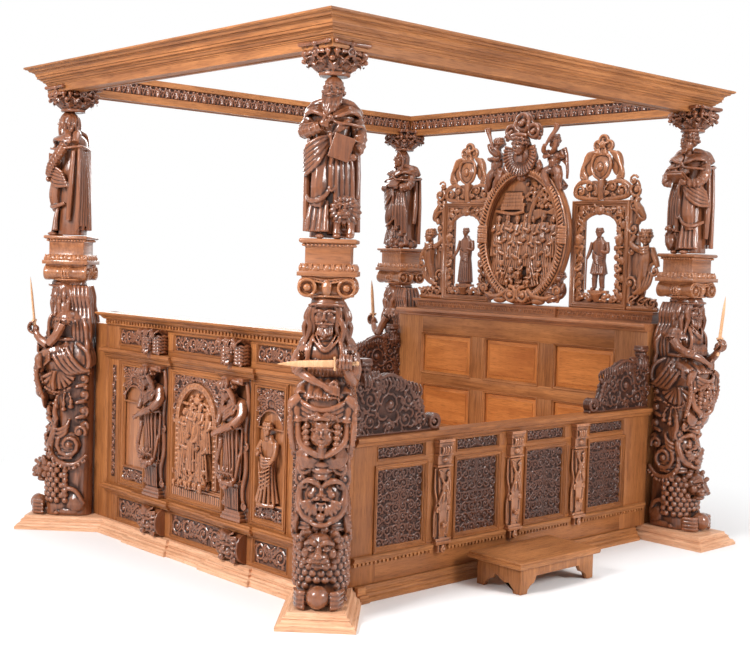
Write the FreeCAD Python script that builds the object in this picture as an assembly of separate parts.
"""Carved four-poster tester bed with its step stool, in millimetres.

X runs across the bed, +Y towards the head, Z up from the floor.  Every post stands on its own
splayed plinth and is stacked from five blocks: the carved term (lion, scroll shaft and warrior),
the Ionic capital with its square die, the standing saint, and the leaf capital that is housed
into the underside of the tester.  The foot posts face outwards on the diagonal, the head posts
face straight out to the sides.
"""
import FreeCAD
import Part
import math
import os

V = FreeCAD.Vector

# ---- overall -------------------------------------------------------------------------------
TOTAL_H = 2400.0
TESTER_HALF_X = 1235.0
TESTER_HALF_Y = 1419.0
CLEAR = 0.4                      # fitting clearance wherever a piece is let into another

# ---- tester section --------------------------------------------------------------------------
FASCIA_INSET = 92.0
BEAM_INNER_INSET = 185.0
TESTER_DEPTH = 129.0
FASCIA_BOTTOM = TOTAL_H - TESTER_DEPTH
FRIEZE_LOW = FASCIA_BOTTOM + 38.0
FRIEZE_HIGH = TOTAL_H - 30.0
FRIEZE_THICK = 12.0
CROWN = ((0.0, 0.0), (0.0, 9.0), (6.0, 17.0), (16.0, 18.0), (26.0, 22.0), (38.0, 31.0),
         (46.0, 46.0), (52.0, 50.0), (54.0, 62.0), (66.0, 67.0), (78.0, 78.0), (84.0, 79.0),
         (84.0, 87.0), (FASCIA_INSET, 90.0))

# ---- posts -----------------------------------------------------------------------------------
FOOT_POST_INSET = (191.6, 188.4)         # post axis in from the tester edges, across and along
HEAD_POST_INSET = (134.0, 188.8)
FOOT_POST = (TESTER_HALF_X - FOOT_POST_INSET[0], FOOT_POST_INSET[1] - TESTER_HALF_Y)
HEAD_POST = (TESTER_HALF_X - HEAD_POST_INSET[0], TESTER_HALF_Y - HEAD_POST_INSET[1])
PLINTH_H = 66.0
CAPITAL_H = 90.0
DIE_H = 148.0
STATUE_H = 642.0
LEAF_H = 132.0
HOUSING = 33.0                           # depth of the leaf capital inside the tester
LEAF_TOP = FASCIA_BOTTOM + HOUSING
LEAF_Z = LEAF_TOP - LEAF_H               # underside of the leaf capital
STATUE_Z = LEAF_Z - STATUE_H             # top of the die, where the saint stands
DIE_Z = STATUE_Z - DIE_H                 # underside of the moulded die
CAPITAL_Z = DIE_Z - CAPITAL_H            # underside of the Ionic capital
TERM_H = CAPITAL_Z - PLINTH_H            # the carved term takes up what is left
POST_BACK = 140.0                        # flat back of the term, measured from the post axis
DIE_HALF = 117.7
STATUE_SLAB_HALF = 105.0
ABACUS_HALF = 108.0
FOOT_PLINTH = (160.0, 233.0, 240.0)      # half width, reach forward, reach back
HEAD_PLINTH = (165.0, 281.0, POST_BACK)
HEAD_PLINTH_SHIFT = 30.0                 # the head plinths lie a little towards the foot
PLINTH_SPLAY = ((0.0, 0.0), (14.0, 0.0), (20.0, 6.0), (38.0, 26.0), (44.0, 28.0),
                (50.0, 34.0), (58.0, 42.0), (PLINTH_H, 42.0))

# ---- footboard -------------------------------------------------------------------------------
FOOT_FACE = FOOT_POST[1] + 95.6
FOOT_THICK = 50.0
FOOT_HALF = FOOT_POST[0] - 233.4
FOOT_LOWER = 210.0               # underside of the sill moulding
FOOT_SILL = 257.0                # top of the sill moulding
FOOT_WAIST = 907.0               # underside of the waist moulding
FOOT_FRIEZE = 960.0              # top of the waist moulding
FOOT_CORNICE = 1079.0
FOOT_TOP = 1142.0
HERM_X = 333.0                   # centre lines of the caryatid pilasters
HERM_HALF = 105.0
BREAK_HALF = 128.0
BREAK = 15.0
FOOT_BASE_REACH = 65.0
SIDE_FIELD = (HERM_X + HERM_HALF + 21.0, FOOT_HALF - 145.0)     # side panel openings
MID_FIELD = HERM_X - HERM_HALF - 23.0    # half width of the middle panel opening
FIELD_Z = (285.0, 880.0)
UPPER_Z = (984.0, 1062.0)
LOWER_Z = (86.0, 192.0)
SIDE_FRIEZE = (HERM_X + 125.0, FOOT_HALF - 110.0)
PANEL_SET = 18.0                 # panels lie this far behind the face of their frame
PANEL_THICK = 14.0

# ---- side rails -------------------------------------------------------------------------------
RAIL_FACE = HEAD_POST[0] - 116.0
RAIL_THICK = 60.0
RAIL_START = FOOT_POST[1] + 216.6
RAIL_PITCH = 490.0
RAIL_FIELD_HALF = 141.5
RAIL_FIELD_Z = (205.0, 555.0)
RAIL_FRIEZE_Z = (596.0, 650.0)
RAIL_CAP_Z = (662.0, 702.0)
RAIL_CAP_OUT = 27.0
RAIL_CAP_IN = 8.0
RAIL_SILL_Z = (163.0, 192.0)
RAIL_BASE_REACH = 37.0
PILASTER_HALF = 50.0

# ---- headboard and cresting --------------------------------------------------------------------
HEAD_FACE = HEAD_POST[1] - 130.2
HEAD_THICK = 50.0
HEAD_HALF = HEAD_POST[0] - POST_BACK - 1.0
HEAD_CAP_Z = (1105.0, 1148.0)
HEAD_CAP_REACH = 35.0
HEAD_BACK = HEAD_FACE + 190.0
SHELF_Z = (HEAD_CAP_Z[1], 1210.0)
SHELF_FACE = HEAD_FACE + 105.0
SHELF_HALF = HEAD_HALF - 30.0
HEAD_COLUMNS = ((215.0 - HEAD_HALF, -327.0), (-208.0, 208.0), (327.0, HEAD_HALF - 215.0))
HEAD_ROWS = ((420.0, 670.0), (745.0, 995.0))
NICHE_X = (316.0, HEAD_HALF - 244.0)
NICHE_Z = (SHELF_Z[1], FASCIA_BOTTOM - 446.0)
NICHE_FACE = HEAD_FACE + 124.0
NICHE_THICK = 44.0
OVAL_TOP = FASCIA_BOTTOM - 236.0
OVAL_CENTRE_Z = (OVAL_TOP + SHELF_Z[1]) / 2.0
OVAL_HALF = (337.0, OVAL_TOP - OVAL_CENTRE_Z)
OVAL_FACE = HEAD_FACE + 60.0
OVAL_BACK = HEAD_FACE + 162.0
OVAL_BAND = 52.0
OVAL_FOOT_HALF = 170.0
CREST_TOP = TOTAL_H - 32.0

# ---- bed base ----------------------------------------------------------------------------------
SLAT_Z = 380.0
SLAT_SIZE = (90.0, 20.0)
SLAT_COUNT = 12
LEDGER = (40.0, 60.0)

# ---- step stool --------------------------------------------------------------------------------
STOOL_X = (RAIL_FACE + 100.0, RAIL_FACE + 360.0)
STOOL_Y = (-335.0, 180.0)
STOOL_H = 145.0
STOOL_TOP_THICK = 30.0
STOOL_OVERHANG = (38.0, 20.0, 28.0)      # towards the bed, outwards, at the ends
STOOL_BOARD = 22.0

FOOT_REACH = -FOOT_POST[1] + (FOOT_PLINTH[0] + FOOT_PLINTH[1]) / math.sqrt(2.0)
FRAME_SHIFT = V(0.0, (FOOT_REACH - TESTER_HALF_Y) / 2.0, 0.0)


# ---- shape helpers -----------------------------------------------------------------------------
def box(x0, x1, y0, y1, z0, z1):
    """Rectangular block between two corners."""
    lo = V(min(x0, x1), min(y0, y1), min(z0, z1))
    return Part.makeBox(abs(x1 - x0), abs(y1 - y0), abs(z1 - z0), lo)


def face(points):
    """Flat polygon face from vectors."""
    return Part.Face(Part.makePolygon(list(points) + [points[0]]))


def prism_z(points, z0, z1):
    """Plan outline carried up."""
    return face([V(x, y, z0) for x, y in points]).extrude(V(0.0, 0.0, z1 - z0))


def prism_x(points, x0, x1):
    """Profile in the YZ plane run along X, as a moulding is run."""
    return face([V(x0, y, z) for y, z in points]).extrude(V(x1 - x0, 0.0, 0.0))


def prism_y(points, y0, y1):
    """Outline in the XZ plane carried back along Y, as a board is sawn."""
    return face([V(x, y0, z) for x, z in points]).extrude(V(0.0, y1 - y0, 0.0))


def facets(a, b, c, d):
    """One flat face through four corners, or two where they don't lie in a plane."""
    normal = (b - a).cross(c - a)
    if normal.Length > 0.0 and abs(normal.normalize().dot(d - a)) < 1.0e-7:
        return [face([a, b, c, d])]
    return [face([a, b, c]), face([a, c, d])]


def loft(rings):
    """Closed solid of flat facets through rings of equal point count."""
    faces = [face(rings[0][::-1]), face(rings[-1])]
    for low, high in zip(rings, rings[1:]):
        for k in range(len(low)):
            after = (k + 1) % len(low)
            faces += facets(low[k], low[after], high[after], high[k])
    solid = Part.makeSolid(Part.makeShell(faces))
    if solid.Volume < 0.0:
        solid.reverse()
    return solid


def oval_ring(cx, cy, z, rx, ry, count=10):
    """Level oval of straight facets."""
    step = 2.0 * math.pi / count
    angles = [step * (i + 0.5) for i in range(count)]
    return [V(cx + rx * math.cos(a), cy + ry * math.sin(a), z) for a in angles]


def carved_ring(z, half, front, back):
    """Level section of a block with a flat back and a rounded, carved front."""
    outline = ((1.0, None), (1.0, 0.15), (0.8, 0.68), (0.42, 0.93), (0.0, 1.0),
               (-0.42, 0.93), (-0.8, 0.68), (-1.0, 0.15), (-1.0, None))
    ring = []
    for fx, fy in outline:
        y = back if fy is None else -front * fy
        ring.append(V(half * fx, y, z))
    return ring


def square_ring(z, x0, x1, y0, y1):
    """Level rectangle."""
    return [V(x1, y1, z), V(x0, y1, z), V(x0, y0, z), V(x1, y0, z)]


def fuse(shapes):
    """One solid from overlapping parts."""
    body = shapes[0]
    for shape in shapes[1:]:
        body = body.fuse(shape)
    return body.removeSplitter()


def limb(points, count=6):
    """Tapering limb through (x, y, z, radius) stations, sections kept level to its run."""
    rings = []
    for i, (x, y, z, r) in enumerate(points):
        before = points[max(i - 1, 0)]
        after = points[min(i + 1, len(points) - 1)]
        run = V(after[0] - before[0], after[1] - before[1], after[2] - before[2]).normalize()
        side = run.cross(V(0.0, 0.0, 1.0))
        if side.Length < 0.05:
            side = run.cross(V(1.0, 0.0, 0.0))
        side.normalize()
        top = side.cross(run)
        step = 2.0 * math.pi / count
        rings.append([V(x, y, z) + side * (r * math.cos(step * k)) + top * (r * math.sin(step * k))
                      for k in range(count)])
    return loft(rings)


def mirror_x(shape):
    """The same piece for the other side of the bed."""
    return shape.mirror(V(0.0, 0.0, 0.0), V(1.0, 0.0, 0.0))


def place_post(shape, corner):
    """Turn a post piece made facing -Y and stand it on its corner."""
    side, end = corner
    x, y = FOOT_POST if end == "foot" else HEAD_POST
    sign = 1.0 if side == "right" else -1.0
    turned = shape.copy()
    turned.rotate(V(0.0, 0.0, 0.0), V(0.0, 0.0, 1.0), sign * (45.0 if end == "foot" else 90.0))
    turned.translate(V(sign * x, y, 0.0))
    return turned


# ---- posts -------------------------------------------------------------------------------------
def plinth_outline(end, side):
    """Local plan limits x0, x1, y0, y1 of a plinth at the floor."""
    half, front, back = FOOT_PLINTH if end == "foot" else HEAD_PLINTH
    shift = 0.0
    if end == "head":
        shift = -HEAD_PLINTH_SHIFT if side == "right" else HEAD_PLINTH_SHIFT
    return shift - half, shift + half, -front, back


def plinth(end, side):
    """Splayed, moulded block under a post; the moulding runs round the three open sides."""
    x0, x1, y0, y1 = plinth_outline(end, side)
    rings = [square_ring(z, x0 + i, x1 - i, y0 + i, y1) for z, i in PLINTH_SPLAY]
    return loft(rings)


# share of the term's height, half width, reach forward
TERM_SECTIONS = (
    (0.0, 104.0, 150.0), (0.036, 106.0, 156.0), (0.093, 100.0, 142.0), (0.15, 104.0, 158.0),
    (0.207, 98.0, 126.0), (0.25, 90.0, 62.0), (0.305, 90.0, 44.0), (0.37, 95.0, 54.0),
    (0.427, 100.0, 74.0), (0.485, 104.0, 100.0), (0.55, 104.0, 126.0), (0.623, 110.0, 150.0),
    (0.676, 116.0, 166.0), (0.721, 110.0, 146.0), (0.75, 92.0, 100.0), (0.803, 102.0, 92.0),
    (0.853, 118.0, 84.0), (0.876, 104.0, 74.0), (0.891, 58.0, 62.0), (0.909, 60.0, 84.0),
    (0.958, 70.0, 90.0), (0.982, 80.0, 92.0), (1.0, 84.0, 88.0))
SHOULDER = 0.868
GRIP_HALF = 8.0
SWORD_LENGTH = 330.0


def term_z(share):
    """Height above the floor of a level on the term."""
    return PLINTH_H + share * TERM_H


FIST = (86.0, -160.0, term_z(0.7993))


def term_back(share):
    """The shaft runs back to the bed corner; head and shoulders stand clear of it."""
    return POST_BACK if share < SHOULDER else 96.0


def sword(laid):
    """Wooden sword: pointed blade, cross guard and grip; upright, or laid across the chest."""
    blade = loft([square_ring(46.0, -13.0, 13.0, -3.5, 3.5),
                  square_ring(SWORD_LENGTH - 110.0, -10.0, 10.0, -3.0, 3.0),
                  square_ring(SWORD_LENGTH - 62.0, -1.5, 1.5, -1.0, 1.0)])
    guard = box(-26.0, 26.0, -6.0, 6.0, 34.0, 46.0)
    grip = box(-GRIP_HALF, GRIP_HALF, -GRIP_HALF, GRIP_HALF, -36.0, 34.0)
    pommel = box(-11.0, 11.0, -9.0, 9.0, -52.0, -36.0)
    whole = fuse([blade, guard, grip, pommel])
    if laid:
        whole.rotate(V(0.0, 0.0, 0.0), V(0.0, 1.0, 0.0), -92.0)
    else:
        whole.rotate(V(0.0, 0.0, 0.0), V(1.0, 0.0, 0.0), 6.0)
    whole.translate(V(*FIST))
    return whole


def fist_bore(laid):
    """Square hole through the fist that takes the sword grip."""
    half = GRIP_HALF + CLEAR
    bore = box(-half, half, -half, half, -90.0, 90.0)
    if laid:
        bore.rotate(V(0.0, 0.0, 0.0), V(0.0, 1.0, 0.0), -92.0)
    else:
        bore.rotate(V(0.0, 0.0, 0.0), V(1.0, 0.0, 0.0), 6.0)
    bore.translate(V(*FIST))
    return bore


def term(laid):
    """Lion, scroll shaft and warrior carved in one block."""
    body = loft([carved_ring(term_z(s), h, f, term_back(s)) for s, h, f in TERM_SECTIONS])
    muzzle = term_z(0.16)
    snout = loft([oval_ring(0.0, -150.0, muzzle - 57.0, 44.0, 34.0, 8),
                  oval_ring(0.0, -156.0, muzzle, 52.0, 40.0, 8),
                  oval_ring(0.0, -146.0, muzzle + 38.0, 34.0, 30.0, 8)])
    ball = loft([oval_ring(0.0, -158.0, PLINTH_H, 22.0, 20.0, 8),
                 oval_ring(0.0, -162.0, PLINTH_H + 38.0, 44.0, 34.0, 8),
                 oval_ring(0.0, -158.0, PLINTH_H + 80.0, 22.0, 18.0, 8)])
    brow = term_z(0.5742)
    child = loft([oval_ring(0.0, -118.0, brow - 44.0, 26.0, 26.0, 8), oval_ring(0.0, -128.0, brow, 44.0, 38.0, 8),
                  oval_ring(0.0, -120.0, brow + 48.0, 26.0, 26.0, 8)])
    armpit = term_z(0.8369)
    elbow = armpit - 92.0
    sword_arm = limb([(108.0, -14.0, armpit, 30.0), (118.0, -48.0, elbow, 27.0),
                      (FIST[0] + 4.0, FIST[1] + 34.0, FIST[2] - 8.0, 22.0),
                      (FIST[0], FIST[1] - 24.0, FIST[2], 21.0)])
    low_arm = limb([(-108.0, -14.0, armpit, 30.0), (-104.0, -84.0, elbow, 27.0),
                    (-20.0, -128.0, elbow - 38.0, 22.0), (34.0, -128.0, elbow - 44.0, 20.0)])
    return fuse([body, snout, ball, child, sword_arm, low_arm]).cut(fist_bore(laid))


def volute_bar(x):
    """One scroll bolster of the Ionic capital, waisted like a baluster."""
    stations = ((-118.0, 43.0), (-84.0, 43.0), (-46.0, 34.0), (-10.0, 36.0), (10.0, 36.0),
                (46.0, 34.0), (84.0, 43.0), (118.0, 43.0))
    rings = []
    for y, r in stations:
        rings.append([V(x + r * math.cos(math.pi * (k + 0.5) / 5.0), y,
                        CAPITAL_Z + 44.0 + r * math.sin(math.pi * (k + 0.5) / 5.0)) for k in range(10)])
    return loft(rings)


def capital():
    """Ionic capital and the moulded die over it, one block."""
    echinus = loft([oval_ring(0.0, 0.0, CAPITAL_Z, 78.0, 82.0, 12),
                    oval_ring(0.0, 0.0, CAPITAL_Z + 30.0, 92.0, 98.0, 12),
                    oval_ring(0.0, 0.0, CAPITAL_Z + 64.0, 98.0, 102.0, 12)])
    slab = box(-88.0, 88.0, -104.0, 104.0, CAPITAL_Z + 50.0, DIE_Z)
    h = DIE_HALF
    s = STATUE_SLAB_HALF
    steps = ((DIE_Z, h), (DIE_Z + 20.0, h), (DIE_Z + 21.0, h - 6.0), (DIE_Z + 36.0, h - 9.0),
             (DIE_Z + 50.0, 98.0), (DIE_Z + 52.0, 90.0), (STATUE_Z - 34.0, 90.0), (STATUE_Z - 30.0, 96.0),
             (STATUE_Z - 18.0, s - 4.0), (STATUE_Z - 16.0, s), (STATUE_Z, s))
    die = loft([square_ring(z, -a, a, -a, a) for z, a in steps])
    return fuse([echinus, slab, volute_bar(-78.0), volute_bar(78.0), die])


# share of the saint's height, half width, half depth, centre forward or back
STATUE_SECTIONS = (
    (0.0, 92.0, 84.0, 0.0), (0.025, 96.0, 88.0, 0.0), (0.171, 88.0, 80.0, 0.0),
    (0.358, 86.0, 78.0, 0.0), (0.514, 92.0, 82.0, -2.0), (0.623, 102.0, 84.0, -4.0),
    (0.717, 98.0, 76.0, 0.0), (0.766, 78.0, 58.0, 2.0), (0.797, 40.0, 40.0, -4.0),
    (0.826, 40.0, 46.0, -10.0), (0.888, 47.0, 56.0, -12.0), (0.95, 44.0, 52.0, -8.0),
    (1.0, 30.0, 36.0, 0.0))


def statue_z(share):
    """Height above the floor of a level on the standing figure."""
    return STATUE_Z + share * STATUE_H


def statue(kind):
    """Standing robed saint; the forearms and the attribute at the feet differ by corner."""
    body = loft([oval_ring(0.0, c, statue_z(s), rx, ry, 10) for s, rx, ry, c in STATUE_SECTIONS])
    parts = [body]
    base = STATUE_Z
    waist = statue_z(0.48)
    chest = statue_z(0.65)
    if kind == "lion":
        parts.append(loft([oval_ring(66.0, -52.0, base, 34.0, 36.0, 8),
                           oval_ring(66.0, -62.0, base + 70.0, 34.0, 34.0, 8),
                           oval_ring(66.0, -62.0, base + 138.0, 24.0, 22.0, 8)]))
        parts.append(box(18.0, 84.0, -104.0, -60.0, waist, waist + 86.0))
    if kind == "scroll":
        parts.append(limb([(60.0, -30.0, chest, 26.0), (64.0, -72.0, chest - 60.0, 22.0),
                           (30.0, -92.0, chest - 120.0, 20.0)]))
        parts.append(box(-40.0, 40.0, -98.0, -70.0, base, base + 26.0))
    if kind == "bird":
        parts.append(loft([oval_ring(-62.0, -56.0, base, 32.0, 36.0, 8),
                           oval_ring(-62.0, -58.0, base + 60.0, 28.0, 32.0, 8),
                           oval_ring(-62.0, -66.0, base + 120.0, 14.0, 16.0, 8)]))
        parts.append(box(-46.0, 26.0, -104.0, -62.0, chest - 70.0, chest + 6.0))
    if kind == "book":
        parts.append(box(-46.0, 46.0, -104.0, -62.0, chest - 66.0, chest - 2.0))
        parts.append(loft([oval_ring(0.0, -20.0, base, 98.0, 82.0, 10),
                           oval_ring(0.0, -20.0, base + 50.0, 84.0, 70.0, 10)]))
    return fuse(parts)


def leaf_capital():
    """Necking ring, leafy bell and hollow-sided abacus with its corner scrolls."""
    ring = loft([oval_ring(0.0, 0.0, LEAF_Z, 46.0, 46.0, 12), oval_ring(0.0, 0.0, LEAF_Z + 8.0, 54.0, 54.0, 12),
                 oval_ring(0.0, 0.0, LEAF_Z + 18.0, 46.0, 46.0, 12)])
    bell = loft([oval_ring(0.0, 0.0, LEAF_Z + 14.0, 48.0, 48.0, 12), oval_ring(0.0, 0.0, LEAF_Z + 44.0, 66.0, 66.0, 12),
                 oval_ring(0.0, 0.0, LEAF_Z + 76.0, 90.0, 90.0, 12), oval_ring(0.0, 0.0, LEAF_Z + 96.0, 98.0, 98.0, 12)])
    a = ABACUS_HALF
    hollow = a - 16.0
    nose = a - 22.0
    outline = []
    for k in range(4):
        turn = math.pi / 2.0 * k
        for px, py in ((a, -nose), (hollow, 0.0), (a, nose)):
            outline.append((px * math.cos(turn) - py * math.sin(turn),
                            px * math.sin(turn) + py * math.cos(turn)))
    abacus = prism_z(outline, LEAF_Z + 84.0, LEAF_TOP)
    return fuse([ring, bell, abacus])


# ---- tester ------------------------------------------------------------------------------------
def beam_section():
    """(inset from the outer edge, height) outline of a tester beam."""
    outer = [(inset, TOTAL_H - drop) for inset, drop in CROWN]
    inner = [(FASCIA_INSET, FASCIA_BOTTOM), (BEAM_INNER_INSET, FASCIA_BOTTOM),
             (BEAM_INNER_INSET, FRIEZE_LOW), (BEAM_INNER_INSET - FRIEZE_THICK, FRIEZE_LOW),
             (BEAM_INNER_INSET - FRIEZE_THICK, FRIEZE_HIGH), (BEAM_INNER_INSET, FRIEZE_HIGH),
             (BEAM_INNER_INSET, TOTAL_H)]
    return outer + inner


def beam(half_long, half_cross):
    """One mitred tester beam lying along X on the -Y side."""
    run = prism_x([(-half_cross + i, z) for i, z in beam_section()], -half_long, half_long)
    near = half_long - BEAM_INNER_INSET - 10.0
    line = -half_cross + BEAM_INNER_INSET + 10.0
    plan = [(-half_long, -half_cross), (half_long, -half_cross), (near, line), (-near, line)]
    return run.common(prism_z(plan, FASCIA_BOTTOM - 1.0, TOTAL_H + 1.0))


def frieze_strip(half_long, half_cross):
    """Carved leaf strip let into the inner face of a tester beam."""
    back = -half_cross + BEAM_INNER_INSET - FRIEZE_THICK
    front = back + FRIEZE_THICK + 4.0
    end = half_long - BEAM_INNER_INSET
    plan = [(-end - FRIEZE_THICK + CLEAR, back), (end + FRIEZE_THICK - CLEAR, back),
            (end - 4.0 - CLEAR, front), (-end + 4.0 + CLEAR, front)]
    return prism_z(plan, FRIEZE_LOW, FRIEZE_HIGH)


def quarter(shape, turns):
    """Turn by quarter turns about the bed centre."""
    turned = shape.copy()
    turned.rotate(V(0.0, 0.0, 0.0), V(0.0, 0.0, 1.0), 90.0 * turns)
    return turned


def tester():
    """Four beams notched over the leaf capitals, and their four carved strips."""
    hx, hy = TESTER_HALF_X, TESTER_HALF_Y
    a = ABACUS_HALF + CLEAR
    notch = box(-a, a, -a, a, FASCIA_BOTTOM - 5.0, LEAF_TOP)
    notches = [place_post(notch, (side, end)) for side in ("left", "right") for end in ("foot", "head")]
    beams = {"front": beam(hx, hy), "back": quarter(beam(hx, hy), 2),
             "right": quarter(beam(hy, hx), 1), "left": quarter(beam(hy, hx), 3)}
    for key in beams:
        for cutter in notches:
            beams[key] = beams[key].cut(cutter)
    strips = [frieze_strip(hx, hy), quarter(frieze_strip(hx, hy), 2),
              quarter(frieze_strip(hy, hx), 1), quarter(frieze_strip(hy, hx), 3)]
    trimmed = []
    for strip in strips:
        for cutter in notches:
            strip = strip.cut(cutter)
        trimmed.append(strip)
    return beams, trimmed


# ---- footboard ---------------------------------------------------------------------------------
def foot_fields():
    """x0, x1, z0, z1 of the main panel openings."""
    a, b = SIDE_FIELD
    return [(-b, -a) + FIELD_Z, (-MID_FIELD, MID_FIELD) + FIELD_Z, (a, b) + FIELD_Z]


def foot_frieze_fields():
    """x0, x1, z0, z1 of the upper and lower frieze openings."""
    a, b = SIDE_FRIEZE
    spans = [(-b, -a), (-MID_FIELD, MID_FIELD), (a, b)]
    return [span + z for z in (UPPER_Z, LOWER_Z) for span in spans]


def foot_frame():
    """Framed footboard: stiles, rails and muntins round nine openings, with raised surrounds."""
    back = FOOT_FACE + FOOT_THICK
    plate = box(-FOOT_HALF, FOOT_HALF, FOOT_FACE, back, PLINTH_H, FOOT_CORNICE)
    for x0, x1, z0, z1 in foot_fields():
        surround = box(x0 - 20.0, x1 + 20.0, FOOT_FACE - 9.0, FOOT_FACE, z0 - 20.0, z1 + 20.0)
        plate = plate.fuse(surround)
    for x0, x1, z0, z1 in foot_fields() + foot_frieze_fields():
        plate = plate.cut(box(x0, x1, FOOT_FACE - 12.0, back + 1.0, z0, z1))
    return plate.removeSplitter()


def arch_relief(cx, half, z0, z1, y0, y1):
    """Arch on two pilasters standing on a base block, in low relief."""
    spring = z0 + 0.62 * (z1 - z0)
    radius = half - 26.0
    outer = [(cx - half, z0), (cx + half, z0), (cx + half, z1), (cx - half, z1)]
    head = [(cx + radius * math.cos(math.pi * k / 8.0), spring + radius * math.sin(math.pi * k / 8.0))
            for k in range(9)]
    hollow = [(cx - radius, z0 + 58.0), (cx + radius, z0 + 58.0)] + head
    return prism_y(outer, y0, y1).cut(prism_y(hollow, y0 - 1.0, y1 + 1.0))


def foot_panels():
    """Three boards with their arch, spandrel and base reliefs."""
    front = FOOT_FACE + PANEL_SET
    panels = []
    for x0, x1, z0, z1 in foot_fields():
        board = box(x0, x1, front, front + PANEL_THICK, z0, z1)
        relief = arch_relief((x0 + x1) / 2.0, (x1 - x0) / 2.0, z0, z1, front - 9.0, front)
        figure = loft([oval_ring((x0 + x1) / 2.0, front - 5.0, z0 + 58.0, 46.0, 22.0, 8),
                       oval_ring((x0 + x1) / 2.0, front - 5.0, z0 + 250.0, 34.0, 18.0, 8),
                       oval_ring((x0 + x1) / 2.0, front - 5.0, z0 + 330.0, 14.0, 10.0, 8)])
        trimmed = figure.common(box(x0, x1, front - 30.0, front + 1.0, z0, z1))
        panels.append(fuse([board, relief, trimmed]))
    return panels


def carved_boards(fields, front, proud, thick):
    """Thin boards filling frieze openings, the carving standing proud of a sunk ground."""
    boards = []
    for x0, x1, z0, z1 in fields:
        ground = box(x0, x1, front, front + thick, z0, z1)
        swell = loft([[V(x, front, z) for x, z in ((x0 + 6, z0 + 6), (x1 - 6, z0 + 6), (x1 - 6, z1 - 6), (x0 + 6, z1 - 6))],
                      [V(x, front - proud, z) for x, z in ((x0 + 12, z0 + 12), (x1 - 12, z0 + 12), (x1 - 12, z1 - 12), (x0 + 12, z1 - 12))]])
        boards.append(fuse([ground, swell]))
    return boards


def foot_run(profile, half, breaks):
    """Moulding along the footboard that breaks forward over the two pilasters."""
    straight = prism_x(profile, -half, half)
    parts = [straight]
    for cx in breaks:
        ahead = [(y - BREAK if y < FOOT_FACE else y, z) for y, z in profile]
        parts.append(prism_x(ahead, cx - BREAK_HALF, cx + BREAK_HALF))
    return fuse(parts)


def foot_mouldings():
    """Sill and waist mouldings."""
    f = FOOT_FACE
    sill = foot_run([(f, FOOT_LOWER), (f - 14.0, FOOT_LOWER), (f - 18.0, FOOT_LOWER + 14.0),
                     (f - 40.0, FOOT_LOWER + 24.0), (f - 42.0, FOOT_LOWER + 34.0), (f - 30.0, FOOT_SILL),
                     (f, FOOT_SILL)], FOOT_HALF + 8.0, (-HERM_X, HERM_X))
    waist = foot_run([(f, FOOT_WAIST), (f - 12.0, FOOT_WAIST), (f - 16.0, FOOT_WAIST + 18.0),
                      (f - 38.0, FOOT_WAIST + 34.0), (f - 44.0, FOOT_FRIEZE - 10.0), (f - 40.0, FOOT_FRIEZE),
                      (f, FOOT_FRIEZE)], FOOT_HALF + 22.0, (-HERM_X, HERM_X))
    return [sill, waist]


def foot_cornice():
    """Straight cornice with its dentil course and plank top."""
    f = FOOT_FACE
    back = f + FOOT_THICK
    z = FOOT_CORNICE
    profile = [(back, z), (f - 14.0, z), (f - 14.0, z + 28.0), (f - 26.0, z + 30.0), (f - 44.0, z + 40.0),
               (f - 50.0, z + 50.0), (f - 56.0, z + 52.0), (f - 56.0, FOOT_TOP), (back + 14.0, FOOT_TOP),
               (back + 14.0, FOOT_TOP - 16.0), (back, FOOT_TOP - 20.0)]
    cornice = prism_x(profile, -FOOT_HALF - 50.0, FOOT_HALF + 50.0)
    pitch = 2.0 * FOOT_HALF / 60.0
    gaps = []
    for k in range(61):
        x = -FOOT_HALF + pitch * k
        gaps.append(box(x - pitch / 4.0, x + pitch / 4.0, f - 15.0, f - 5.0, z + 8.0, z + 24.0))
    return cornice.cut(Part.makeCompound(gaps))


def foot_base():
    """Moulded base between the two foot plinths, breaking forward under the consoles."""
    f = FOOT_FACE
    r = FOOT_BASE_REACH
    profile = [(f + FOOT_THICK, 0.0), (f - r, 0.0), (f - r, 18.0), (f - r + 8.0, 26.0), (f - r + 26.0, 34.0),
               (f - r + 30.0, 46.0), (f - r + 44.0, 54.0), (f - r + 44.0, PLINTH_H), (f + FOOT_THICK, PLINTH_H)]
    reach = FOOT_HALF + 95.0
    base = foot_run(profile, reach, (-HERM_X, HERM_X))
    for side in ("left", "right"):
        x0, x1, y0, y1 = plinth_outline("foot", side)
        block = box(x0 - CLEAR, x1 + CLEAR, y0 - CLEAR, y1 + CLEAR, -5.0, PLINTH_H + 5.0)
        base = base.cut(place_post(block, (side, "foot")))
    return base


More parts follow.
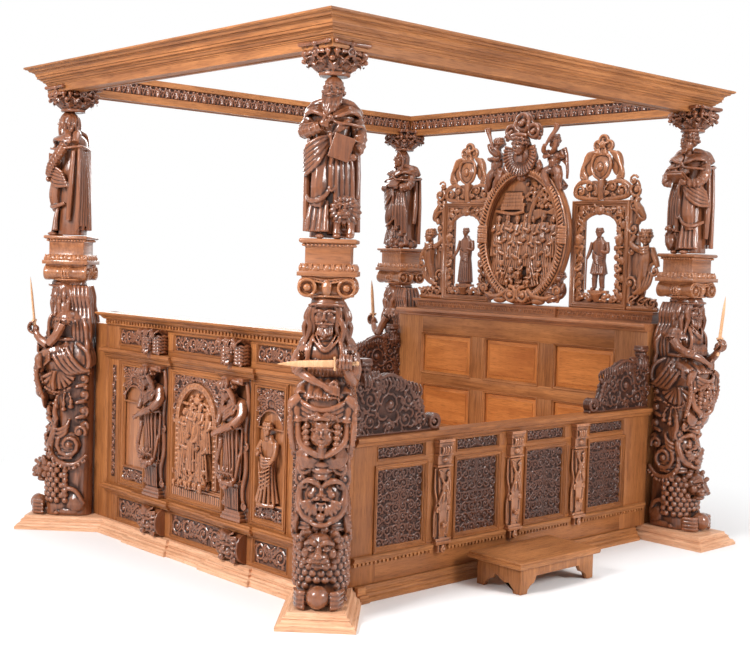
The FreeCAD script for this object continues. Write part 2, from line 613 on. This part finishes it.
def caryatid(cx):
    """Pilaster with a half figure rising from a tapering, fruit-hung shaft."""
    f = FOOT_FACE
    low = FOOT_SILL
    high = FOOT_WAIST
    back_board = box(-HERM_HALF, HERM_HALF, f - 20.0, f, low, high)
    foot = box(-HERM_HALF + 6.0, HERM_HALF - 6.0, f - 44.0, f - 20.0, low, low + 44.0)
    shaft = loft([oval_ring(0.0, f - 24.0, low + 40.0, 40.0, 24.0, 8),
                  oval_ring(0.0, f - 30.0, low + 200.0, 52.0, 34.0, 8),
                  oval_ring(0.0, f - 34.0, low + 330.0, 78.0, 46.0, 8),
                  oval_ring(0.0, f - 30.0, low + 400.0, 62.0, 38.0, 8),
                  oval_ring(0.0, f - 32.0, low + 500.0, 74.0, 40.0, 8),
                  oval_ring(0.0, f - 28.0, low + 530.0, 34.0, 28.0, 8),
                  oval_ring(0.0, f - 34.0, low + 550.0, 34.0, 34.0, 8),
                  oval_ring(0.0, f - 34.0, low + 610.0, 40.0, 38.0, 8),
                  oval_ring(0.0, f - 28.0, high, 50.0, 34.0, 8)])
    arm = limb([(62.0, f - 36.0, low + 486.0, 22.0), (72.0, f - 62.0, low + 410.0, 19.0),
                (10.0, f - 84.0, low + 370.0, 17.0), (-30.0, f - 80.0, low + 364.0, 15.0)])
    whole = fuse([back_board, foot, shaft, arm]).common(box(-150.0, 150.0, f - 130.0, f, low, high))
    whole.translate(V(cx, 0.0, 0.0))
    return whole


def scroll_console(cx, z0, z1, reach):
    """Leaf-topped console with a lion mask, S-shaped in profile."""
    f = FOOT_FACE
    h = z1 - z0
    profile = [(f, z0), (f - 0.35 * reach, z0), (f - 0.8 * reach, z0 + 0.18 * h), (f - reach, z0 + 0.42 * h),
               (f - 0.94 * reach, z0 + 0.66 * h), (f - 0.72 * reach, z0 + 0.82 * h),
               (f - 0.86 * reach, z0 + 0.9 * h), (f - 0.86 * reach, z1), (f, z1)]
    body = prism_x(profile, cx - 82.0, cx + 82.0)
    nose = loft([oval_ring(cx, f - reach + 6.0, z0 + 0.22 * h, 26.0, 20.0, 8),
                 oval_ring(cx, f - reach, z0 + 0.42 * h, 34.0, 24.0, 8),
                 oval_ring(cx, f - reach + 8.0, z0 + 0.66 * h, 22.0, 16.0, 8)])
    return fuse([body, nose])


def foot_masks():
    """Two masks under the cornice and two above the base."""
    pieces = []
    for cx in (-HERM_X, HERM_X):
        pieces.append(scroll_console(cx, FOOT_FRIEZE, FOOT_CORNICE, 62.0))
        pieces.append(scroll_console(cx, PLINTH_H, FOOT_LOWER, 60.0))
    return pieces


def corner_stile():
    """Foot corner: ties footboard to side rail and carries the flat back of the term."""
    back = FOOT_FACE + FOOT_THICK
    inner = RAIL_FACE - RAIL_THICK
    # the diagonal back of the term runs where (x - y) is constant
    level = FOOT_POST[0] - FOOT_POST[1] - POST_BACK * math.sqrt(2.0) - CLEAR
    plan = [(FOOT_HALF, back), (FOOT_HALF, FOOT_FACE), (level + FOOT_FACE, FOOT_FACE),
            (RAIL_FACE, RAIL_FACE - level), (RAIL_FACE, RAIL_START), (inner, RAIL_START), (inner, back)]
    return prism_z(plan, PLINTH_H, FOOT_CORNICE)


# ---- side rails --------------------------------------------------------------------------------
def rail_centres():
    """Bay centres and pilaster centres along the rail."""
    bays = [RAIL_PITCH * (k - 1.5) for k in range(4)]
    pilasters = [RAIL_PITCH * (k - 1.0) for k in range(3)]
    return bays, pilasters


def rail_fields():
    """y0, y1, z0, z1 of every opening in a rail frame."""
    fields = []
    for cy in rail_centres()[0]:
        fields.append((cy - RAIL_FIELD_HALF, cy + RAIL_FIELD_HALF) + RAIL_FIELD_Z)
        fields.append((cy - RAIL_FIELD_HALF, cy + RAIL_FIELD_HALF) + RAIL_FRIEZE_Z)
    return fields


def rail_frame():
    """Framed side with four bays; the surround of each main field stands proud."""
    plate = box(RAIL_FACE - RAIL_THICK, RAIL_FACE, RAIL_START, HEAD_FACE, PLINTH_H, RAIL_CAP_Z[0])
    for y0, y1, z0, z1 in rail_fields():
        if z0 == RAIL_FIELD_Z[0]:
            plate = plate.fuse(box(RAIL_FACE, RAIL_FACE + 8.0, y0 - 18.0, y1 + 18.0, z0 - 8.0, z1 + 18.0))
    for y0, y1, z0, z1 in rail_fields():
        plate = plate.cut(box(RAIL_FACE - RAIL_THICK - 1.0, RAIL_FACE + 12.0, y0, y1, z0, z1))
    return plate.removeSplitter()


def rail_cap():
    """Moulded capping rail."""
    low, high = RAIL_CAP_Z
    out = RAIL_FACE + RAIL_CAP_OUT
    inner = RAIL_FACE - RAIL_THICK - RAIL_CAP_IN
    profile = [(inner, low + 8.0), (inner + 8.0, low), (out - 18.0, low), (out - 14.0, low + 12.0),
               (out - 4.0, low + 20.0), (out, low + 24.0), (out, high - 8.0), (out - 6.0, high),
               (inner + 6.0, high), (inner, high - 6.0)]
    return prism_y(profile, RAIL_START, HEAD_FACE)


def rail_panels():
    """Four arabesque panels and their four frieze panels."""
    boards = []
    front = RAIL_FACE - 12.0
    for y0, y1, z0, z1 in rail_fields():
        ground = box(front - PANEL_THICK, front, y0, y1, z0, z1)
        swell = loft([[V(front, y, z) for y, z in ((y0 + 5, z0 + 5), (y1 - 5, z0 + 5), (y1 - 5, z1 - 5), (y0 + 5, z1 - 5))],
                      [V(front + 9, y, z) for y, z in ((y0 + 11, z0 + 11), (y1 - 11, z0 + 11), (y1 - 11, z1 - 11), (y0 + 11, z1 - 11))]])
        boards.append(fuse([ground, swell]))
    return boards


def rail_pilaster(cy):
    """Console-headed pilaster with a drop at its foot."""
    f = RAIL_FACE
    low = RAIL_SILL_Z[0] - 17.0
    top = RAIL_CAP_Z[0]
    profile = [(f, low + 4.0), (f + 8.0, low), (f + 26.0, low + 4.0), (f + 30.0, low + 30.0), (f + 20.0, low + 54.0),
               (f + 28.0, top - 192.0), (f + 40.0, top - 182.0), (f + 40.0, top - 142.0), (f + 30.0, top - 132.0),
               (f + 26.0, top - 92.0), (f + 40.0, top - 62.0), (f + 42.0, top - 40.0), (f + 22.0, top - 28.0),
               (f + 22.0, top), (f, top)]
    body = prism_y(profile, cy - PILASTER_HALF, cy + PILASTER_HALF)
    side = [(cy - 34.0, low), (cy + 34.0, low), (cy + 34.0, low + 50.0), (cy + 38.0, low + 54.0),
            (cy + 44.0, top - 192.0), (cy + PILASTER_HALF, top - 186.0), (cy + PILASTER_HALF, top),
            (cy - PILASTER_HALF, top), (cy - PILASTER_HALF, top - 186.0), (cy - 44.0, top - 192.0),
            (cy - 38.0, low + 54.0), (cy - 34.0, low + 50.0)]
    shape = prism_x(side, f - 1.0, f + 60.0)
    return body.common(shape)


def rail_mouldings():
    """Sill with its dentil course, and the stepped base moulding."""
    f = RAIL_FACE
    low, high = RAIL_SILL_Z
    sill_profile = [(f, low - 12.0), (f + 10.0, low - 12.0), (f + 10.0, low), (f + 18.0, low + 6.0),
                    (f + 20.0, low + 16.0), (f + 12.0, high), (f, high)]
    sill = prism_y(sill_profile, RAIL_START, HEAD_FACE - 20.0)
    for cy in rail_centres()[1]:
        sill = sill.cut(box(f - 1.0, f + 40.0, cy - PILASTER_HALF, cy + PILASTER_HALF, low - 30.0, high + 30.0))
    r = RAIL_BASE_REACH
    base_profile = [(f - RAIL_THICK, 0.0), (f + r, 0.0), (f + r, 20.0), (f + r - 5.0, 27.0), (f + r - 16.0, 34.0),
                    (f + r - 18.0, 44.0), (f + r - 27.0, 54.0), (f + r - 27.0, PLINTH_H), (f - RAIL_THICK, PLINTH_H)]
    base = prism_y(base_profile, RAIL_START + 14.0, HEAD_FACE)
    for end in ("foot", "head"):
        x0, x1, y0, y1 = plinth_outline(end, "right")
        block = box(x0 - CLEAR, x1 + CLEAR, y0 - CLEAR, y1 + CLEAR, -5.0, PLINTH_H + 5.0)
        base = base.cut(place_post(block, ("right", end)))
    base = base.cut(box(f - RAIL_THICK - 10.0, f + 100.0, HEAD_FACE - 70.0, HEAD_FACE + 10.0, -1.0, PLINTH_H + 1.0))
    return sill.Solids + base.Solids


WING_OUTLINE = ((0.0, 0.0), (510.0, 0.0), (512.0, 22.0), (500.0, 52.0), (470.0, 64.0), (440.0, 58.0),
                (420.0, 74.0), (404.0, 120.0), (392.0, 148.0), (372.0, 160.0), (352.0, 158.0), (330.0, 196.0),
                (290.0, 232.0), (236.0, 256.0), (196.0, 262.0), (182.0, 290.0), (164.0, 316.0), (120.0, 330.0),
                (70.0, 334.0), (30.0, 326.0), (0.0, 330.0))


def wing(end):
    """Pierced-looking scroll wing standing on the capping rail against the foot or head."""
    top = RAIL_CAP_Z[1]
    start, sense = (RAIL_START, 1.0) if end == "foot" else (HEAD_FACE - CLEAR, -1.0)
    plan = [(start + sense * y, top + z) for y, z in WING_OUTLINE]
    body = prism_x(plan, RAIL_FACE - 42.0, RAIL_FACE - 2.0)
    y = start + sense * 52.0
    head = loft([oval_ring(RAIL_FACE - 22.0, y, top + 236.0, 26.0, 30.0, 8),
                 oval_ring(RAIL_FACE - 16.0, y, top + 280.0, 34.0, 44.0, 8),
                 oval_ring(RAIL_FACE - 22.0, y, top + 330.0, 24.0, 34.0, 8)])
    return fuse([body, head])


# ---- headboard -----------------------------------------------------------------------------------
def head_fields():
    """x0, x1, z0, z1 of the six fielded panels."""
    return [column + row for row in HEAD_ROWS for column in HEAD_COLUMNS]


def head_frame():
    """Framed headboard standing on the floor between the head posts."""
    back = HEAD_FACE + HEAD_THICK
    plate = box(-HEAD_HALF, HEAD_HALF, HEAD_FACE, back, 0.0, HEAD_CAP_Z[0])
    for x0, x1, z0, z1 in head_fields():
        plate = plate.cut(box(x0, x1, HEAD_FACE - 1.0, back + 1.0, z0, z1))
    returns = [box(s * HEAD_HALF, s * (HEAD_HALF - 30.0), back, HEAD_BACK - 20.0, 0.0, HEAD_CAP_Z[0])
               for s in (-1.0, 1.0)]
    return fuse([plate] + returns)


def head_panels():
    """Six fielded panels with bevelled margins."""
    panels = []
    front = HEAD_FACE + 6.0
    for x0, x1, z0, z1 in head_fields():
        board = box(x0, x1, front + 12.0, front + 24.0, z0, z1)
        margin = 8.0
        slope = 26.0
        field = loft([[V(x, front + 12.0, z) for x, z in ((x0 + margin, z0 + margin), (x1 - margin, z0 + margin),
                                                          (x1 - margin, z1 - margin), (x0 + margin, z1 - margin))],
                      [V(x, front + 2.0, z) for x, z in ((x0 + slope, z0 + slope), (x1 - slope, z0 + slope),
                                                         (x1 - slope, z1 - slope), (x0 + slope, z1 - slope))]])
        panels.append(fuse([board, field]))
    return panels


def head_shelf():
    """Capping plank with its moulding, and the carved cornice box that carries the cresting."""
    f = HEAD_FACE
    low, high = HEAD_CAP_Z
    r = HEAD_CAP_REACH
    profile = [(HEAD_BACK, low), (f - 8.0, low), (f - 10.0, low + 12.0), (f - 22.0, low + 18.0),
               (f - r + 3.0, low + 26.0), (f - r, low + 28.0), (f - r, high), (HEAD_BACK, high)]
    cap = prism_x(profile, -HEAD_HALF, HEAD_HALF)
    g = SHELF_FACE
    z0, z1 = SHELF_Z
    shelf_profile = [(HEAD_BACK, z0), (g, z0), (g, z0 + 14.0), (g - 14.0, z0 + 40.0), (g - 16.0, z0 + 48.0),
                     (g - 22.0, z0 + 50.0), (g - 22.0, z1), (HEAD_BACK, z1)]
    shelf = prism_x(shelf_profile, -SHELF_HALF, SHELF_HALF)
    ahead = [(y - 16.0 if y < HEAD_BACK else y, z) for y, z in shelf_profile]
    centre = prism_x(ahead, -250.0, 250.0)
    return [cap, fuse([shelf, centre])]


def oval_outline(half_x, half_z, count=28):
    """Upright oval of straight facets about the medallion centre."""
    step = 2.0 * math.pi / count
    return [(half_x * math.cos(step * (k + 0.5)), OVAL_CENTRE_Z + half_z * math.sin(step * (k + 0.5)))
            for k in range(count)]


def crest_oval():
    """Oval medallion frame: a deep drum with a laurel band, cut off level on the shelf."""
    hx, hz = OVAL_HALF
    drum = prism_y(oval_outline(hx - 22.0, hz - 22.0), OVAL_FACE + 24.0, OVAL_BACK)
    band = prism_y(oval_outline(hx, hz), OVAL_FACE, OVAL_FACE + 30.0)
    hollow = prism_y(oval_outline(hx - OVAL_BAND, hz - OVAL_BAND), OVAL_FACE - 1.0, OVAL_BACK - 16.0)
    seat = box(-OVAL_FOOT_HALF, OVAL_FOOT_HALF, OVAL_FACE + 49.0, OVAL_BACK, SHELF_Z[1], SHELF_Z[1] + 60.0)
    return fuse([drum, band, seat]).cut(hollow)


def crest_relief():
    """Carved scene filling the medallion, modelled as stepped low relief."""
    hx, hz = OVAL_HALF
    seat = OVAL_BACK - 16.0
    field = prism_y(oval_outline(hx - OVAL_BAND - CLEAR, hz - OVAL_BAND - CLEAR), seat - 34.0, seat)
    swell = prism_y(oval_outline(hx - OVAL_BAND - 40.0, hz - OVAL_BAND - 60.0, 16), seat - 66.0, seat - 30.0)
    return fuse([field, swell])


def niche(sign):
    """Moulded rectangular frame with an open, scroll-topped arch."""
    a, b = NICHE_X
    z0, z1 = NICHE_Z
    y0, y1 = NICHE_FACE, NICHE_FACE + NICHE_THICK
    rim = box(a, b, y0, y1, z0, z1).cut(box(a + 42.0, b - 42.0, y0 - 1.0, y1 + 1.0, z0 + 46.0, z1 - 42.0))
    cx = (a + b) / 2.0
    half = (b - a) / 2.0 - 42.0
    spring = z1 - 42.0 - 150.0
    radius = half - 44.0
    outer = [(cx - half, z0 + 46.0), (cx + half, z0 + 46.0), (cx + half, z1 - 42.0), (cx - half, z1 - 42.0)]
    head = [(cx + radius * math.cos(math.pi * k / 8.0), spring + radius * math.sin(math.pi * k / 8.0))
            for k in range(9)]
    hollow = [(cx - radius, z0 + 96.0), (cx + radius, z0 + 96.0)] + head
    arcade = prism_y(outer, y0 + 10.0, y1 - 6.0).cut(prism_y(hollow, y0, y1))
    frame = fuse([rim, arcade])
    return frame if sign > 0 else mirror_x(frame)


def niche_figure(sign):
    """Small standing figure in the arch."""
    cx = sign * (NICHE_X[0] + NICHE_X[1]) / 2.0
    cy = NICHE_FACE + 20.0
    base = NICHE_Z[0] + 96.0
    tall = (NICHE_Z[1] - NICHE_Z[0]) / 1.809
    sections = ((0.0, 46.0, 24.0), (0.076, 40.0, 22.0), (0.176, 34.0, 20.0), (0.529, 38.0, 22.0),
                (0.735, 44.0, 24.0), (0.841, 16.0, 14.0), (0.918, 22.0, 20.0), (1.0, 14.0, 12.0))
    return loft([oval_ring(cx, cy, base + share * tall, rx, ry, 8) for share, rx, ry in sections])


def crest_scrolls(sign):
    """Winged shield finial over a niche, and the figure bracket at its outer side."""
    a, b = NICHE_X
    z1 = NICHE_Z[1]
    y0, y1 = NICHE_FACE + 4.0, NICHE_FACE + 40.0
    cx = (a + b) / 2.0
    finial = [(a + 6.0, z1), (b + 24.0, z1), (b + 30.0, z1 + 50.0), (b - 6.0, z1 + 104.0), (b - 60.0, z1 + 82.0),
              (cx + 66.0, z1 + 100.0), (cx + 106.0, z1 + 150.0), (cx + 112.0, z1 + 226.0), (cx + 60.0, z1 + 262.0),
              (cx + 38.0, z1 + 290.0), (cx + 54.0, z1 + 318.0), (cx + 40.0, z1 + 350.0), (cx, z1 + 376.0),
              (cx - 40.0, z1 + 350.0), (cx - 54.0, z1 + 318.0), (cx - 38.0, z1 + 290.0), (cx - 60.0, z1 + 262.0),
              (cx - 112.0, z1 + 226.0), (cx - 106.0, z1 + 150.0), (cx - 66.0, z1 + 100.0), (a + 60.0, z1 + 82.0),
              (a + 6.0, z1 + 60.0)]
    top = prism_y(finial, y0, y1)
    s = SHELF_Z[1]
    side = [(b + CLEAR, s), (SHELF_HALF - 10.0, s), (SHELF_HALF - 4.0, s + 60.0), (SHELF_HALF - 20.0, s + 120.0),
            (SHELF_HALF - 46.0, s + 170.0), (SHELF_HALF - 30.0, s + 240.0), (SHELF_HALF - 50.0, s + 330.0),
            (SHELF_HALF - 80.0, s + 372.0), (b + 92.0, s + 380.0), (b + 74.0, s + 440.0), (b + 82.0, s + 520.0),
            (b + 58.0, s + 590.0), (b + CLEAR, NICHE_Z[1] - CLEAR)]
    bracket = prism_y(side, y0, y1)
    pieces = [top, bracket]
    return pieces if sign > 0 else [mirror_x(p) for p in pieces]


def crest_bust():
    """Bust with a pleated ruff under a shell, between two trumpeting children."""
    z = OVAL_CENTRE_Z + OVAL_HALF[1]
    y0 = OVAL_FACE + 4.0
    y1 = OVAL_FACE + 64.0
    ruff = prism_y([(-96.0, z - 24.0), (-60.0, z - 64.0), (0.0, z - 76.0), (60.0, z - 64.0), (96.0, z - 24.0),
                    (104.0, z + 30.0), (70.0, z + 70.0), (-70.0, z + 70.0), (-104.0, z + 30.0)], y0 - 40.0, y0)
    face_block = loft([oval_ring(0.0, y0 - 26.0, z - 10.0, 36.0, 30.0, 8), oval_ring(0.0, y0 - 34.0, z + 50.0, 54.0, 46.0, 8),
                       oval_ring(0.0, y0 - 22.0, z + 150.0, 54.0, 46.0, 8), oval_ring(0.0, y0 - 6.0, z + 190.0, 30.0, 30.0, 8)])
    shell = prism_y([(-86.0, z + 150.0), (86.0, z + 150.0), (112.0, z + 210.0), (92.0, z + 270.0), (48.0, z + 300.0),
                     (44.0, z + 326.0), (0.0, CREST_TOP), (-44.0, z + 326.0), (-48.0, z + 300.0),
                     (-92.0, z + 270.0), (-112.0, z + 210.0)], y0 - 10.0, y0 + 30.0)
    backing = prism_y([(-110.0, z + CLEAR), (110.0, z + CLEAR), (120.0, z + 160.0), (-120.0, z + 160.0)], y0 - 4.0, y1)
    child = prism_y([(100.0, z + 20.0), (180.0, z - 40.0), (262.0, z - 100.0), (296.0, z - 60.0), (300.0, z + 10.0),
                     (276.0, z + 100.0), (296.0, z + 150.0), (284.0, z + 226.0), (240.0, z + 236.0),
                     (226.0, z + 170.0), (190.0, z + 226.0), (160.0, z + 160.0), (150.0, z + 90.0), (104.0, z + 90.0)],
                    y0 + 30.0, y1)
    whole = fuse([ruff, face_block, shell, backing, child, mirror_x(child)])
    oval = prism_y(oval_outline(OVAL_HALF[0] + CLEAR, OVAL_HALF[1] + CLEAR), OVAL_FACE, OVAL_BACK + 40.0)
    return whole.cut(oval)


# ---- bed base ------------------------------------------------------------------------------------
def well_limits():
    """Clear inside of the bed: half width, foot end and head end."""
    return RAIL_FACE - RAIL_THICK, FOOT_FACE + FOOT_THICK, HEAD_FACE


def ledgers():
    """Bearers screwed inside the rails."""
    half, foot, head = well_limits()
    one = box(half - LEDGER[0], half, foot + 30.0, head - 30.0, SLAT_Z - LEDGER[1], SLAT_Z)
    return [one, mirror_x(one)]


def slats():
    """Loose slats laid across the bearers."""
    half, foot, head = well_limits()
    wide, thick = SLAT_SIZE
    reach = half - RAIL_CAP_IN - 4.0
    start = foot + 60.0
    pitch = (head - foot - 120.0 - wide) / (SLAT_COUNT - 1)
    return [box(-reach, reach, start + pitch * k, start + pitch * k + wide, SLAT_Z, SLAT_Z + thick)
            for k in range(SLAT_COUNT)]


# ---- step stool ----------------------------------------------------------------------------------
def stool_top():
    """Moulded-edge tread."""
    inner, outer, ends = STOOL_OVERHANG
    z0 = STOOL_H - STOOL_TOP_THICK
    x0, x1 = STOOL_X[0] - inner, STOOL_X[1] + outer
    y0, y1 = STOOL_Y[0] - ends, STOOL_Y[1] + ends
    steps = ((0.0, 5.0), (10.0, 0.0), (20.0, 0.0), (23.0, 5.0), (STOOL_TOP_THICK, 12.0))
    return loft([square_ring(z0 + dz, x0 + i, x1 - i, y0 + i, y1 - i) for dz, i in steps])


def bracket_cut(length, height):
    """Ogee outline sawn out between the bracket feet of a board, from its left end."""
    foot = 44.0
    left = [(foot, 0.0), (foot + 6.0, 18.0), (foot + 22.0, 34.0), (foot + 46.0, 42.0), (foot + 58.0, 60.0),
            (foot + 62.0, height)]
    return left + [(length - x, z) for x, z in reversed(left)]


def stool_frame():
    """Four boards: long sides run through, ends fit between them."""
    x0, x1 = STOOL_X
    y0, y1 = STOOL_Y
    height = STOOL_H - STOOL_TOP_THICK
    t = STOOL_BOARD
    boards = []
    for xa, xb in ((x0, x0 + t), (x1 - t, x1)):
        board = box(xa, xb, y0, y1, 0.0, height)
        cut = prism_x([(y0 + s, z - (1.0 if z == 0.0 else 0.0)) for s, z in bracket_cut(y1 - y0, 72.0)],
                      xa - 1.0, xb + 1.0)
        boards.append(board.cut(cut))
    for ya, yb in ((y0, y0 + t), (y1 - t, y1)):
        board = box(x0 + t, x1 - t, ya, yb, 0.0, height)
        cut = prism_y([(x0 + s, z - (1.0 if z == 0.0 else 0.0)) for s, z in bracket_cut(x1 - x0, 72.0)],
                      ya - 1.0, yb + 1.0)
        boards.append(board.cut(cut))
    return boards


# ---- assembly ------------------------------------------------------------------------------------
CORNERS = (("foot", "right", "lion"), ("foot", "left", "scroll"), ("head", "right", "bird"),
           ("head", "left", "book"))


def build():
    """Every node of the bed, by name."""
    nodes = {}
    swords = []
    for end, side, kind in CORNERS:
        corner = (side, end)
        name = end + "_" + side
        laid = kind == "lion"
        nodes["plinth_" + name] = [place_post(plinth(end, side), corner)]
        nodes["term_" + name] = [place_post(term(laid), corner)]
        nodes["capital_" + name] = [place_post(capital(), corner)]
        nodes["statue_" + name] = [place_post(statue(kind), corner)]
        nodes["leafcap_" + name] = [place_post(leaf_capital(), corner)]
        swords.append(place_post(sword(laid), corner))
    nodes["swords"] = swords
    beams, strips = tester()
    for key in beams:
        nodes["tester_" + key] = [beams[key]]
    nodes["tester_frieze"] = strips
    nodes["corner_stiles"] = [corner_stile(), mirror_x(corner_stile())]
    nodes["foot_frame"] = [foot_frame()]
    nodes["foot_panels"] = foot_panels()
    nodes["foot_friezes"] = carved_boards(foot_frieze_fields(), FOOT_FACE + 10.0, 7.0, PANEL_THICK)
    nodes["foot_cornice"] = [foot_cornice()]
    nodes["foot_mouldings"] = foot_mouldings()
    nodes["foot_base"] = [foot_base()]
    nodes["foot_caryatids"] = [caryatid(-HERM_X), caryatid(HERM_X)]
    nodes["foot_masks"] = foot_masks()
    right = {"rail_frame": [rail_frame()], "rail_cap": [rail_cap()], "rail_panels": rail_panels(),
             "rail_pilasters": [rail_pilaster(cy) for cy in rail_centres()[1]],
             "rail_mouldings": rail_mouldings()}
    for key in right:
        nodes[key + "_right"] = right[key]
        nodes[key + "_left"] = [mirror_x(s) for s in right[key]]
    wings = [wing("foot"), wing("head")]
    nodes["wings"] = wings + [mirror_x(s) for s in wings]
    nodes["head_frame"] = [head_frame()]
    nodes["head_panels"] = head_panels()
    nodes["head_shelf"] = head_shelf()
    nodes["crest_oval"] = [crest_oval()]
    nodes["crest_relief"] = [crest_relief()]
    nodes["crest_niches"] = [niche(1.0), niche(-1.0)]
    nodes["crest_figures"] = [niche_figure(1.0), niche_figure(-1.0)]
    nodes["crest_scrolls"] = crest_scrolls(1.0) + crest_scrolls(-1.0)
    nodes["crest_bust"] = [crest_bust()]
    nodes["bed_ledgers"] = ledgers()
    nodes["bed_slats"] = slats()
    nodes["stool_top"] = [stool_top()]
    nodes["stool_frame"] = stool_frame()
    return nodes


os.makedirs("parts", exist_ok=True)
for node_name, solids in build().items():
    body = solids[0] if len(solids) == 1 else Part.makeCompound(solids)
    body.translate(FRAME_SHIFT)
    body.exportStep("parts/" + node_name + ".step")
    print(node_name, len(solids), "valid", body.isValid(), "solids", len(body.Solids), "faces", len(body.Faces))
